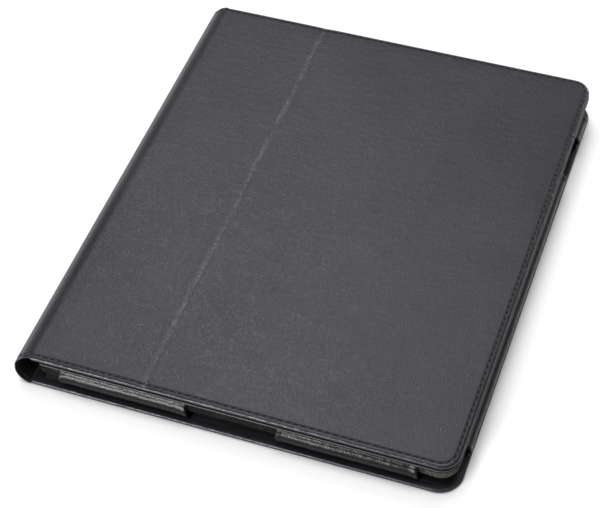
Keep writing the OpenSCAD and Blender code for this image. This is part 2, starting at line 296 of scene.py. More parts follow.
def cover_rise(x, y, inset, depth, thick):
    """How far the cover's outer face stands above the CAD face: padding, slow waves and the crease."""
    face = max(0.0, 1 - depth / thick)
    inside = smooth((inset - SEAM_INSET) / 5)
    near_spine = smooth((x - COVER_CUT + 6) / 8)
    padding = 0.10 + 0.16 * wave(x, y, 55, 3.1) + 0.07 * wave(x, y, 19, 7.7)
    off = x - CREASE_X - crease_wander(y)
    notch = 0.09 * bell(off, 0.8) * (1 + 0.5 * wave(0, y, 7, 5.5))
    lips = 0.05 * bell(abs(off) - 2.0, 1.3)
    end_dip = 0.25 * bell(off, 4.0) * smooth((12 - inset) / 10)
    return face * (near_spine * inside * padding - notch + lips * inside - end_dip)


def crease_wander(y):
    """The crease isn't quite straight."""
    return 0.5 * wave(0, y, 60, 1.7) + 0.18 * wave(0, y, 13, 2.9)


# ---- outer leather


def straight_run(start, end):
    return [start + (end - start) * t for t in steps(0, 1, 0.2 if (end - start).length > 2 else 0.5)]


def bend_path(start, corner, end, setback, turns=12):
    """Middle line of a strip that turns at one fold, as (point, heading)."""
    a = (corner - start).normalized()
    b = (end - corner).normalized()
    turn = a.angle_signed(b) * -1
    radius = setback / math.tan(abs(turn) / 2)
    heading = math.atan2(a.y, a.x)
    sign = 1 if turn > 0 else -1
    first = corner - a * setback
    centre = first + Vector((-a.y, a.x)) * radius * sign
    path = [(point, heading) for point in straight_run(start, first)]
    for i in range(1, turns):
        angle = heading + turn * i / turns
        path.append((centre + Vector((math.sin(angle), -math.cos(angle))) * radius * sign, angle))
    return path + [(point, heading + turn) for point in straight_run(corner + b * setback, end)]


def outward(heading):
    """Direction from the sheet's middle to its outer face, as (x, z)."""
    return Vector((-math.sin(heading), math.cos(heading)))


def strip_width(point):
    """Half the length of the spine there: it narrows from the back panel's ends to the cover's."""
    low, high = FOLDS["back_fold"].y, FOLDS["cover_fold"].y
    share = smooth((point.y - low) / (high - low))
    return (BACK_HI.y + (NARROW_HI.y - BACK_HI.y) * share, BACK_R + (COVER_R - BACK_R) * share)


def strip_thickness(point, heading):
    """Leather and board together: full in the panels, one layer of leather round the spine."""
    if math.cos(heading) < -0.99:
        away = point.x - FOLDS["back_fold"].x
    elif math.cos(heading) > 0.99:
        away = point.x - FOLDS["cover_fold"].x
    else:
        away = 0
    return LEATHER + (HEM_T - LEATHER) * smooth((away - 0.5) / 2.3)


def side_line(point, heading):
    """How strongly the pressed line along the back panel's side shows: it ends before the spine."""
    if math.cos(heading) > -0.99:
        return 0.0
    return smooth((point.x - FOLDS["back_fold"].x - 0.5) / 4)


def wrap_leather(name, path):
    """Strip of the outer leather along a path, with its ends turned in."""
    shell = Shell()
    rows = []
    for point, heading in path:
        out = outward(heading)
        face = point + out * HALF_SHEET
        thick = strip_thickness(point, heading)
        width, reach = strip_width(point)
        places = []
        wear_and_light_values = []
        line = side_line(point, heading)
        for y, depth, inset, wear_and_light in cross_section(width, thick, reach, MIDDLE_POINTS, line):
            rise = 0.0
            if point.y > FOLDS["cover_fold"].y - 0.01:
                rise = cover_rise(point.x, y, inset, depth, thick)
            place = face - out * (depth - rise)
            places.append((place.x, y, place.y))
            wear_and_light_values.append(wear_and_light)
        rows.append(shell.row(places, wear_and_light_values))
    shell.skin(rows, closed=True)
    return shell.piece(name, LEATHER_OUTER)


def spine_paths():
    """The four strips of the spine, each from the middle of one CAD strip to the middle of the next."""
    a, b, c, d = FOLDS.values()
    ends = [Vector((BACK_CUT, a.y)), (a + b) / 2, (b + c) / 2, (c + d) / 2, Vector((COVER_CUT, d.y))]
    setbacks = (2.8, 3.0, 3.0, 4.0)
    return [bend_path(ends[i], corner, ends[i + 1], setbacks[i]) for i, corner in enumerate((a, b, c, d))]


SPINE_BODIES = ("back", "spine_low", "spine_mid", "spine_high", "narrow_cover")
SPINE_NAMES = ("lower", "lower_round", "upper_round", "upper")


def settle_spine(obj, index, layer=None):
    """Settles the strip at one fold, with no body of its own.

    It stands for that layer of the CAD strip that it runs on to, if there is one.
    """
    first, second = SPINE_BODIES[index:index + 2]
    replaces = [f"{second}_{layer}"] if layer and second != "narrow_cover" else ()
    settle(obj, replaces=replaces)


def spine_leather():
    for i, path in enumerate(spine_paths()):
        settle_spine(wrap_leather(f"spine_leather_{SPINE_NAMES[i]}", path), i, "leather")


def straight_path(x0, x1, size):
    return [(Vector((x, FOLDS["cover_fold"].y)), 0.0) for x in steps(x0, x1, size)]


def narrow_cover_leather():
    obj = wrap_leather("narrow_cover_leather_face", straight_path(COVER_CUT, CREASE_X - CREASE_HALF, 2.5))
    settle(obj, body="narrow_cover", replaces=["narrow_cover_leather"])


def crease_leather():
    obj = wrap_leather("crease_leather", straight_path(CREASE_X - CREASE_HALF, CREASE_X + CREASE_HALF, 0.4))
    settle(obj)


def free_side_loop(xs, x1, y, r, inset, ys, turns=10):
    """Points along a panel's near end, free side and far end, moved in by inset."""
    radius = max(r - inset, 0)
    near_corner = []
    far_corner = []
    for start, side, corner in ((-90, -1, near_corner), (0, 1, far_corner)):
        for i in range(1, turns):
            angle = math.radians(start + 90 * i / turns)
            corner.append((x1 - r + radius * math.cos(angle), side * (y - r) + radius * math.sin(angle)))
    near = [(x, -(y - inset)) for x in xs]
    far = [(x, y - inset) for x in reversed(xs)]
    return near + near_corner + [(x1 - inset, py) for py in ys] + far_corner + far


def free_side(x0, x1, y, r, size, turns=10):
    """The same as a function of the inset, with points about size apart."""
    xs = steps(x0, x1 - r, size)
    ys = steps(-(y - r), y - r, size)
    return lambda inset: free_side_loop(xs, x1, y, r, inset, ys, turns)


def wide_cover_leather():
    """Wide panel of the cover, with a turned edge round its free side and its two ends."""
    x0, x1, y, r = CREASE_X + CREASE_HALF, WIDE_HI.x, WIDE_HI.y, COVER_R
    flat = y - r
    xs = steps(x0, x1 - r, 3)
    ys = [flat * (2 * i / (MIDDLE_POINTS + 1) - 1) for i in range(MIDDLE_POINTS + 2)]
    shell = Shell()
    rows = []
    for inset, depth, wear_and_light in edge_profile(HEM_T, r):
        loop = free_side_loop(xs, x1, y, r, inset, ys)
        rows.append(shell.row([(px, py, TOP_Z - depth + cover_rise(px, py, inset, depth, HEM_T))
                               for px, py in loop], wear_and_light))
    shell.skin(rows)
    grid = [shell.row([(px, py, TOP_Z + cover_rise(px, py, r + 9, 0, HEM_T)) for px in xs]) for py in ys]
    for number, py in ((0, ys[0]), (-1, ys[-1])):
        for i, px in zip(grid[number], xs):
            shell.points[i].z = TOP_Z + cover_rise(px, py, r, 0, HEM_T)
    for line, py in zip(grid, ys):
        shell.points[line[-1]].z = TOP_Z + cover_rise(xs[-1], py, r, 0, HEM_T)
    shell.skin(grid)
    shell.fill([rows[-1]])
    obj = shell.piece("wide_cover_leather_face", LEATHER_OUTER)
    settle(obj, body="wide_cover", replaces=["wide_cover_leather"])


def circle_loop(x, y, radius, count=40):
    angles = [2 * math.pi * i / count for i in range(count)]
    return [(x + radius * math.cos(angle), y + radius * math.sin(angle)) for angle in angles]


def rounded_loop(x0, x1, y, r_left, r_right, inset, turns=8):
    """Closed outline with round corners, moved in by inset, or out where it is below 0."""
    points = []
    corners = ((x1 - r_right, -1, r_right, -90), (x1 - r_right, 1, r_right, 0),
               (x0 + r_left, 1, r_left, 90), (x0 + r_left, -1, r_left, 180))
    for cx, sy, r, start in corners:
        radius = max(r - inset, 0)
        extra = min(r - inset, 0)
        sx = 1 if cx > (x0 + x1) / 2 else -1
        for i in range(turns + 1):
            angle = math.radians(start + 90 * i / turns)
            px = cx + radius * math.cos(angle) + sx * extra
            points.append((px, sy * (y - r) + radius * math.sin(angle) + sy * extra))
    return points


def hole(name, radius):
    """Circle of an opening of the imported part, as (x, y, radius)."""
    found = next(o for o in frame["record"]["physics"]["openings"] if o["name"] == name)
    (x0, y0, _), (x1, y1, _) = found["box_m"]
    return (x0 + x1) / 2 / MM, (y0 + y1) / 2 / MM, radius


REAR_CAMERA = hole("rear_camera_hole", 7.0)
FRAME_HOLES = (hole("home_button_hole", 7.0), hole("front_camera_hole", 3.0))


def rim(shell, loop_at, profile, height_at, cut=None):
    """Rings of an edge. loop_at gives the outline at an inset, height_at the z at a depth.

    Below the depth cut, the edge is raw and takes the second material.
    """
    rows = [shell.ring(loop_at(inset), height_at(depth), wear_and_light) for inset, depth, wear_and_light in profile]
    for upper, lower, (_, depth, _) in zip(rows, rows[1:], profile):
        shell.skin([upper, lower], closed=True, slot=1 if cut is not None and depth >= cut else 0)
    return rows[0], rows[-1]


def back_panel_leather():
    """Back panel: its outer face is the underside of the case, with the window of the stand flap."""
    x0, x1, y, r = BACK_CUT, BACK_HI.x, BACK_HI.y, BACK_R
    flap_lo, flap_hi = span("stand_flap_leather")
    gap = 0.1
    outline = free_side(x0, x1, y, r, 12)
    shell = Shell()
    section = edge_profile(HEM_T, r, line=side_line(Vector((x0, 0)), math.pi))
    rows = [shell.ring(outline(inset), depth, wear_and_light) for inset, depth, wear_and_light in section]
    shell.skin(rows)

    cx, cy, radius = REAR_CAMERA
    hole_edge = edge_profile(HEM_T, 1.6, seam=None, roll=1.1)
    hole_out, hole_in = rim(shell, lambda d: circle_loop(cx, cy, radius + d), hole_edge, lambda h: h)

    def window(d):
        return rounded_loop(flap_lo.x - gap, flap_hi.x + 0.5, flap_hi.y + gap, 0.4, 0.4, -d, 4)

    flap_profile = [(SEAM_INSET + 1.2, 0, 0), (SEAM_INSET + 0.45, 0.06, 0), (SEAM_INSET, 0.22, 0),
                    (SEAM_INSET - 0.45, 0.06, 0), (0.5, 0.0, 0.2), (0.1, 0.08, 0.8), (0.0, 0.3, 0.6),
                    (0.0, LEATHER, 0)]
    window_out, _ = rim(shell, window, flap_profile, lambda h: h)
    shell.fill([rows[0], hole_out, window_out])
    shell.fill([rows[-1], hole_in])
    obj = shell.piece("back_panel_leather_face", LEATHER_OUTER)
    settle(obj, body="back", replaces=["back_leather"])


# ---- lining


LINING_INSET = 1.8
# Round edge of a lining as (inset, distance from the leather)
LINING_EDGE = ((0.15, -0.05), (0.0, 0.15), (0.12, 0.38), (0.5, LINING))


def lining_section(width, depth, middle=24):
    """Section of the lining across its two ends: a thin layer whose edge lies on the turned leather."""
    edge = [(d, depth + h) for d, h in LINING_EDGE]
    left = [(-width + d, h) for d, h in edge]
    inner = [((width - 0.5) * (2 * (i + 1) / (middle + 1) - 1), depth + LINING) for i in range(middle)]
    return left + inner + [(width - d, h) for d, h in reversed(edge)]


def wrap_lining(name, path, widths):
    """Strip of the lining along the inner face of the same path."""
    shell = Shell()
    rows = []
    for (point, heading), width in zip(path, widths):
        out = outward(heading)
        face = point + out * HALF_SHEET
        thick = strip_thickness(point, heading)
        places = []
        for y, depth in lining_section(width, thick):
            place = face - out * depth
            places.append((place.x, y, place.y))
        rows.append(shell.row(places))
    shell.skin(rows, closed=True)
    shell.fill([rows[0]])
    shell.fill([rows[-1]])
    return shell.piece(name, LINING_CLOTH)


def close_hinge_side(shell, rows):
    """Closes the side of a sheet that its rings leave open, next to the neighbouring strip."""
    shell.fill([[row[0] for row in rows] + [row[-1] for row in reversed(rows)]])


def spine_lining():
    floor = span("back_lining")[1].y
    for i, path in enumerate(spine_paths()):
        widths = [strip_width(p)[0] - LINING_INSET for p, _ in path]
        if i == 0:
            shares = [smooth((BACK_CUT - 0.5 - p.x) / 5) for p, _ in path]
            widths = [floor + (w - floor) * share for w, share in zip(widths, shares)]
        obj = wrap_lining(f"spine_lining_{SPINE_NAMES[i]}", path, widths)
        settle_spine(obj, i, "lining")


def cover_lining():
    """Lining of the narrow panel, the crease and the wide panel."""
    width = NARROW_HI.y - LINING_INSET
    path = straight_path(COVER_CUT, CREASE_X - CREASE_HALF, 6)
    obj = wrap_lining("narrow_cover_lining_face", path, [width] * len(path))
    settle(obj, body="narrow_cover", replaces=["narrow_cover_lining"])
    path = straight_path(CREASE_X - CREASE_HALF, CREASE_X + CREASE_HALF, 0.5)
    obj = wrap_lining("crease_lining", path, [width] * len(path))
    settle(obj)

    x0, x1, y = CREASE_X + CREASE_HALF, WIDE_HI.x - LINING_INSET, width
    outline = free_side(x0, x1, y, COVER_R - LINING_INSET, 8)
    shell = Shell()
    rows = [shell.ring(outline(inset), TOP_Z - (HEM_T + h)) for inset, h in LINING_EDGE]
    shell.skin(rows)
    shell.fill([rows[-1]])
    shell.fill([rows[0]])
    close_hinge_side(shell, rows)
    obj = shell.piece("wide_cover_lining_face", LINING_CLOTH)
    settle(obj, body="wide_cover", replaces=["wide_cover_lining"])


def sleeve_floor():
    """Lining of the back panel, which is the floor of the sleeve."""
    _, hi = span("back_lining")
    x0, x1, y = BACK_CUT, hi.x, hi.y
    cx, cy, radius = REAR_CAMERA
    outline = free_side(x0, x1, y, 3, 12, 4)
    shell = Shell()
    rows = [shell.ring(outline(inset), HEM_T + h) for inset, h in LINING_EDGE]
    shell.skin(rows)
    section = [(0.4, 0.0, 0), (0.1, 0.1, 0), (0.0, 0.3, 0), (0.0, LINING + 0.05, 0)]
    out, low = rim(shell, lambda d: circle_loop(cx, cy, radius + 0.6 + d), section, lambda h: hi.z - h)
    shell.fill([rows[-1], out])
    shell.fill([rows[0], low])
    close_hinge_side(shell, rows)
    obj = shell.piece("sleeve_floor_lining", LINING_CLOTH)
    settle(obj, body="back", replaces=["back_lining"])


# ---- gusset


GUSSET_TOP_GAP = 0.55


def gusset_profile(depth, bottom, top):
    """Outer line of the gusset's section as (outwards, z).

    It is tucked in at its foot, bulges in the middle, and is rolled over the frame's edge at its top.
    """
    foot = ((0.20, 0.0), (0.38, 0.01), (0.41, 0.05), (0.46, 0.12), (0.56, 0.20), (0.72, 0.28), (0.90, 0.35))
    bulge = ((1.02, 0.40), (1.05, 0.45), (1.01, 0.495), (0.95, 0.52))
    roll = ((1.08, 0.545), (1.28, 0.575), (1.40, 0.615), (1.42, 0.66), (1.40, 0.705), (1.33, 0.755),
            (1.22, 0.805), (1.08, 0.85), (0.92, 0.89), (0.78, 0.93), (0.68, 0.985))
    return [(o * depth, bottom + h * (top - bottom)) for o, h in foot + bulge + roll]


def refine(line, times=2):
    """Rounds a line of points off by cutting its corners, and keeps its two ends."""
    for _ in range(times):
        cut = [line[0]]
        for (ax, ay), (bx, by) in zip(line, line[1:]):
            cut.append((ax * 0.75 + bx * 0.25, ay * 0.75 + by * 0.25))
            cut.append((ax * 0.25 + bx * 0.75, ay * 0.25 + by * 0.75))
        line = cut + [line[-1]]
    return line


def offset_line(line, distance):
    """The same line moved to its left by distance."""
    moved = []
    for i, (x, y) in enumerate(line):
        ax, ay = line[max(i - 1, 0)]
        bx, by = line[min(i + 1, len(line) - 1)]
        length = math.hypot(bx - ax, by - ay)
        moved.append((x - (by - ay) / length * distance, y + (bx - ax) / length * distance))
    return moved


def gusset(node, along_x, side):
    """Strip of the gusset in a CAD node's box, along X or Y, standing on that side of the tablet."""
    lo, hi = span(node)
    a0, a1 = (lo.x, hi.x) if along_x else (lo.y, hi.y)
    foot = abs(lo.y if side < 0 else hi.y) - (hi.y - lo.y) if along_x else lo.x
    depth = (hi.y - lo.y) if along_x else (hi.x - lo.x)
    top = BEZEL_HI.z - GUSSET_TOP_GAP
    outer = refine(gusset_profile(depth, lo.z + 0.02, top))
    inner = offset_line(outer, LEATHER * 0.9)
    seed = a0 * 0.37
    shell = Shell()
    rows = []
    for a in steps(a0, a1, 0.8):
        flare = 0.45 * bell(min(a - a0, a1 - a) - 0.9, 1.1)
        places = []
        wear_and_light_values = []
        for line, face in ((outer, 1), (list(reversed(inner)), 0)):
            for o, z in line:
                up = min(max((z - lo.z) / (top - lo.z), 0), 1)
                ripple = 0.13 * wave(a, z * 0.7, 2.6, seed) + 0.10 * wave(a, z, 9, seed + 4)
                push = (ripple + 0.12 * wave(a, 0, 30, seed)) * math.sin(math.pi * up)
                out = foot + o + min(push, 0.08) + flare * math.sin(math.pi * up)
                places.append((a, side * out, z) if along_x else (out, a, z))
                # rubbed leather and painted sheen along the top of the roll, on the outer face only
                wear_and_light_values.append(face * bell(up - 0.84, 0.16))
        rows.append(shell.row(places, wear_and_light_values))
    count = len(outer)
    for a, b in zip(rows, rows[1:]):
        shell.skin([a[:count], b[:count]])
        shell.skin([a[count:], b[count:]], slot=1)
        shell.skin([[a[count - 1], a[count]], [b[count - 1], b[count]]], slot=1)
        shell.skin([[a[-1], a[0]], [b[-1], b[0]]], slot=1)
    for end in (rows[0], rows[-1]):
        out_line, in_line = end[:count], list(reversed(end[count:]))
        shell.skin([out_line, in_line], slot=1)
    obj = shell.piece(node + "_strip", LEATHER_GUSSET, BACKING)
    settle(obj, body="back", replaces=[node])


def gussets():
    for node, along_x, side in (("bottom_left", True, -1), ("bottom_right", True, -1), ("top", True, 1),
                                ("side_lower", False, 1), ("side_upper", False, 1)):
        gusset("gusset_" + node, along_x, side)


# ---- bezel frame


SLEEVE_SEAM = 1.4
WINDOW_SEAM = 1.8
WINDOW_R = 3.0
KNIT_DROP = 4.8


def window_box():
    """The window's sides x0, x1 and half its length, from its seam."""
    lo, hi = span("window_stitching")
    grow = WINDOW_SEAM + 0.25
    return lo.x + grow, hi.x - grow, hi.y - grow


def bezel_outline(inset):
    return rounded_loop(BEZEL_LO.x, BEZEL_HI.x, BEZEL_HI.y, 1.2, FRAME_R, inset)


def window_outline(inset):
    x0, x1, y = window_box()
    return rounded_loop(x0, x1, y, WINDOW_R, WINDOW_R, -inset)


def bezel_leather():
    """Leather of the frame that holds the tablet by its borders."""
    top = BEZEL_HI.z
    thick = top - BEZEL_LO.z
    shell = Shell()
    body = thick - LINING
    outer_edge = edge_profile(body, 3.2, SLEEVE_SEAM, roll=0.5, rim_drop=0.05)
    out, low = rim(shell, bezel_outline, outer_edge, lambda h: top - h, cut=0.4)
    inner_edge = edge_profile(body, 2.4, WINDOW_SEAM, roll=1.0, rim_drop=0.05)
    win, win_low = rim(shell, window_outline, inner_edge, lambda h: top - h)
    tops = [out, win]
    lows = [low, win_low]
    hole_edge = [(0.7, 0.0, 0.1), (0.45, 0.03, 0.4), (0.15, 0.15, 0.9), (0.0, 0.45, 0.7),
                 (0.0, body - 0.3, 0.2), (0.3, body, 0.0)]
    for x, y, radius in FRAME_HOLES:
        a, b = rim(shell, lambda d: circle_loop(x, y, radius + d), hole_edge, lambda h: top - h)
        tops.append(a)
        lows.append(b)
    shell.fill(tops)
    shell.fill(lows)
    obj = shell.piece("bezel_leather_face", LEATHER_BEZEL, BACKING)
    settle(obj, body="back", replaces=["bezel_leather"])


def bezel_lining():
    """Lining under the frame, whose raw edge shows below the leather at the case's edge."""
    top = BEZEL_LO.z + LINING
    profile = [(0.5, 0.0), (0.06, 0.02), (-0.02, 0.25), (0.06, 0.5), (0.5, LINING)]
    shell = Shell()
    loops = [bezel_outline, window_outline]
    for x, y, radius in FRAME_HOLES:
        loops.append(lambda d, x=x, y=y, radius=radius: circle_loop(x, y, radius + d))
    tops = []
    lows = []
    for loop in loops:
        rows = [shell.ring(loop(d + 0.15), top - h) for d, h in profile]
        shell.skin(rows, closed=True, slot=1)
        tops.append(rows[0])
        lows.append(rows[-1])
    shell.fill(tops)
    shell.fill(lows)
    obj = shell.piece("bezel_lining_sheet", LINING_CLOTH, BACKING)
    settle(obj, body="back", replaces=["bezel_lining"])


def bezel_lining_band():
    """Edge of the frame's lining turned down behind the gusset: its knit back shows in the cut-outs."""
    x0, x1, y, r = BEZEL_LO.x + 0.6, BEZEL_HI.x, BEZEL_HI.y, FRAME_R
    xs = steps(x0, x1 - r, 1.5)
    ys = steps(-(y - r), y - r, 3)
    shell = Shell()
    rows = []
    outside = ((0.45, 1.0), (0.4, 0.75), (0.55, 0.5), (0.7, 0.25), (0.9, 0.04), (1.1, 0.0))
    inside = ((1.3, 0.04), (1.2, 0.25), (1.1, 0.5), (1.0, 0.75), (1.0, 1.0))
    for inset, up in outside + inside:
        points = []
        for px, py in free_side_loop(xs, x1, y, r, inset, ys):
            low = BEZEL_LO.z - KNIT_DROP + 0.5 * wave(px, py, 8, 9.1) + 0.2 * wave(px, py, 2, 4.4)
            points.append((px, py, low + (BEZEL_LO.z + 0.3 - low) * up))
        # painted light: the values rise from x = 84 mm to 92 mm, so the knit is lighter round the free side, as
        # lit through the corner cut-outs
        rows.append(shell.row(points, [smooth((px - 84) / 8) for px, _, _ in points]))
    shell.skin(rows)
    shell.skin([rows[-1], rows[0]])
    for end in (0, -1):
        shell.fill([[row[end] for row in rows]])
    obj = shell.piece("bezel_lining_band", BACKING)
    settle(obj, body="back", replaces=["bezel_lining"])


# ---- flaps


def flap_section(width, radius=0.25, middle=30):
    """Section across a flap as (y, face): face goes from -1 on its inner side to 1 on its outer side."""
    across = [(width - radius) * (2 * i / middle - 1) for i in range(middle + 1)]
    inner = [(y, -1) for y in across]
    outer_face = [(y, 1) for y in reversed(across)]
    return inner + [(width, -0.4), (width, 0.4)] + outer_face + [(-width, 0.4), (-width, -0.4)]


def flap_sheet(name, path, width, layers, material):
    """Thin sheet along a path of (point, heading): layers gives its two faces from the path's line."""
    low, high = layers
    middle = (low + high) / 2
    half = (high - low) / 2
    shell = Shell()
    rows = []
    last = len(path) - 1
    for number, (point, heading) in enumerate(path):
        out = outward(heading)
        share = 0.35 if number in (0, last) else 0.8 if number in (1, last - 1) else 1.0
        places = []
        for y, face in flap_section(width):
            place = point + out * (middle + face * half * share)
            places.append((place.x, y, place.y))
        rows.append(shell.row(places))
    shell.skin(rows, closed=True)
    shell.fill([rows[0]])
    shell.fill([rows[-1]])
    return shell.piece(name, material)


def tuck_flap():
    """Flap that closes the sleeve's open side: sewn down on the sleeve's floor and folded up."""
    lo, hi = span("tuck_flap_leather")
    _, inner_hi = span("tuck_flap_lining")
    middle = (lo.x + inner_hi.x) / 2
    floor = span("back_lining")[1].z + HALF_SHEET
    path = bend_path(Vector((middle + 4.5, floor)), Vector((middle, floor)), Vector((middle, hi.z)), 1.0, 8)
    outer = (HALF_SHEET - LEATHER, HALF_SHEET)
    inner = (-HALF_SHEET, HALF_SHEET - LEATHER)
    leather = flap_sheet("tuck_flap_leather_sheet", path, hi.y, outer, LEATHER_GUSSET)
    settle(leather, replaces=["tuck_flap_leather"])
    lining = flap_sheet("tuck_flap_lining_sheet", path, hi.y - 1, inner, LINING_CLOTH)
    settle(lining, replaces=["tuck_flap_lining"])


def stand_flap():
    """Flap in the underside that the cover's free edge slides under."""
    lo, hi = span("stand_flap_leather")
    root = hi.x + 0.35
    path = [(Vector((x, LEATHER / 2)), math.pi) for x in [root] + steps(root - 0.3, lo.x + 0.4, 1.0)
            + [lo.x + 0.12, lo.x]]
    obj = flap_sheet("stand_flap_sheet", path, hi.y, (-LEATHER / 2, LEATHER / 2), LEATHER_OUTER)
    settle(obj, replaces=["stand_flap_leather"])


# ---- stitching


def stitch_shape():
    """One stitch along X, up in Z: thread that lies in its groove and dives at both ends."""
    rings = []
    lengths = (-0.5, -0.46, -0.36, -0.18, 0.0, 0.18, 0.36, 0.46, 0.5)
    for t in lengths:
        slim = math.sqrt(max(0.0, 1 - (2 * t) ** 4)) * 0.94 + 0.06
        dive = -0.30 * smooth((abs(t) - 0.25) / 0.25)
        ring = []
        for i in range(8):
            angle = 2 * math.pi * i / 8
            across = THREAD_HALF_WIDTH * slim * math.cos(angle)
            up = dive + THREAD_HALF_HEIGHT * slim * math.sin(angle)
            ring.append(Vector((t * STITCH_LENGTH, across, up)))
        rings.append(ring)
    return rings


STITCH = stitch_shape()


def sew(shell, places):
    """Adds stitches evenly along a line of (point, up)."""
    lengths = [0.0]
    for (a, _), (b, _) in zip(places, places[1:]):
        lengths.append(lengths[-1] + (b - a).length)
    count = max(1, round(lengths[-1] / STITCH_PITCH))
    at = 0
    for number in range(count):
        target = (number + 0.5) * lengths[-1] / count
        while at < len(lengths) - 2 and lengths[at + 1] < target:
            at += 1
        share = (target - lengths[at]) / max(lengths[at + 1] - lengths[at], 1e-9)
        point = places[at][0].lerp(places[at + 1][0], share)
        up = places[at][1].lerp(places[at + 1][1], share).normalized()
        along = (places[at + 1][0] - places[at][0]).normalized()
        across = up.cross(along).normalized()
        along = (along + across * CHOICE.uniform(0.04, 0.12)).normalized()
        across = up.cross(along).normalized()
        lift = CHOICE.uniform(-0.02, 0.03)
        rows = [shell.row([point + along * p.x + across * p.y + up * (p.z + lift) for p in ring])
                for ring in STITCH]
        shell.skin(rows, closed=True)
        shell.faces.append(tuple(rows[0]))
        shell.faces.append(tuple(reversed(rows[-1])))
        shell.slots += [0, 0]


CHOICE = random.Random(11)


def thread_piece(name, lines):
    shell = Shell()
    for line in lines:
        sew(shell, line)
    return shell.piece(name, THREAD)


def cover_line(points):
    """Seam line through those (x, y) on the cover's outer face."""
    line = []
    for x, y in points:
        z = TOP_Z - THREAD_SUNK + cover_rise(x, y, SEAM_INSET, 0.3, HEM_T)
        line.append((Vector((x, y, z)), Vector((0, 0, 1))))
    return line


def cover_ends(x0, x1, size):
    """Seam lines along the cover's two ends."""
    y = NARROW_HI.y - SEAM_INSET
    return [cover_line([(x, side * y) for x in steps(x0, x1, size)]) for side in (-1, 1)]


def wrap_line(path, sign):
    """Seam line round the spine."""
    line = []
    for point, heading in path:
        out = outward(heading)
        thick = strip_thickness(point, heading)
        sunk = THREAD_SUNK * min(1, thick / 1.5)
        place = point + out * (HALF_SHEET - sunk)
        line.append((Vector((place.x, sign * (strip_width(point)[0] - SEAM_INSET), place.y)),
                     Vector((out.x, 0, out.y))))
    return line


def flat_line(loop, z, up=1):
    return [(Vector((px, py, z)), Vector((0, 0, up))) for px, py in loop]


def cover_stitching():
    crease_x0, crease_x1 = CREASE_X - CREASE_HALF, CREASE_X + CREASE_HALF
    narrow = thread_piece("narrow_cover_stitches", cover_ends(COVER_CUT, crease_x0, 2))
    settle(narrow, body="narrow_cover", replaces=["narrow_cover_stitching"])
    crease = thread_piece("crease_stitches", cover_ends(crease_x0, crease_x1, 0.5))
    settle(crease)
    outline = free_side(crease_x1, WIDE_HI.x, WIDE_HI.y, COVER_R, 3)
    wide = thread_piece("wide_cover_stitches", [cover_line(outline(SEAM_INSET))])
    settle(wide, body="wide_cover", replaces=["wide_cover_stitching"])


def spine_stitching():
    for i, path in enumerate(spine_paths()):
        obj = thread_piece(f"spine_stitches_{SPINE_NAMES[i]}", [wrap_line(path, side) for side in (-1, 1)])
        settle_spine(obj, i)


def back_stitching():
    outline = free_side(BACK_CUT, BACK_HI.x, BACK_HI.y, BACK_R, 4)
    obj = thread_piece("back_panel_stitches", [flat_line(outline(SEAM_INSET), GROOVE_DEPTH - 0.1, -1)])
    settle(obj, body="back", replaces=["back_stitching"])


def stand_flap_stitching():
    lo, hi = span("stand_flap_stitching")
    inset = 0.25
    x1, y0, y1 = hi.x - inset, lo.y + inset, hi.y - inset
    corners = [(lo.x, y1), (x1, y1), (x1, y0), (lo.x, y0)]
    lines = []
    for (ax, ay), (bx, by) in zip(corners, corners[1:]):
        points = [(ax + (bx - ax) * t, ay + (by - ay) * t) for t in steps(0, 1, 0.05)]
        lines.append(flat_line(points, 0.12, -1))
    obj = thread_piece("stand_flap_stitches", lines)
    settle(obj, body="back", replaces=["stand_flap_stitching"])


def bezel_stitching():
    top = BEZEL_HI.z - 0.14
    loop = window_outline(WINDOW_SEAM)
    obj = thread_piece("window_stitches", [flat_line(loop + loop[:1], top)])
    settle(obj, body="back", replaces=["window_stitching"])
    outline = free_side(BEZEL_LO.x + SLEEVE_SEAM, BEZEL_HI.x, BEZEL_HI.y, FRAME_R, 4)
    obj = thread_piece("sleeve_stitches", [flat_line(outline(SLEEVE_SEAM), top)])
    settle(obj, body="back", replaces=["sleeve_stitching"])


# ---- materials


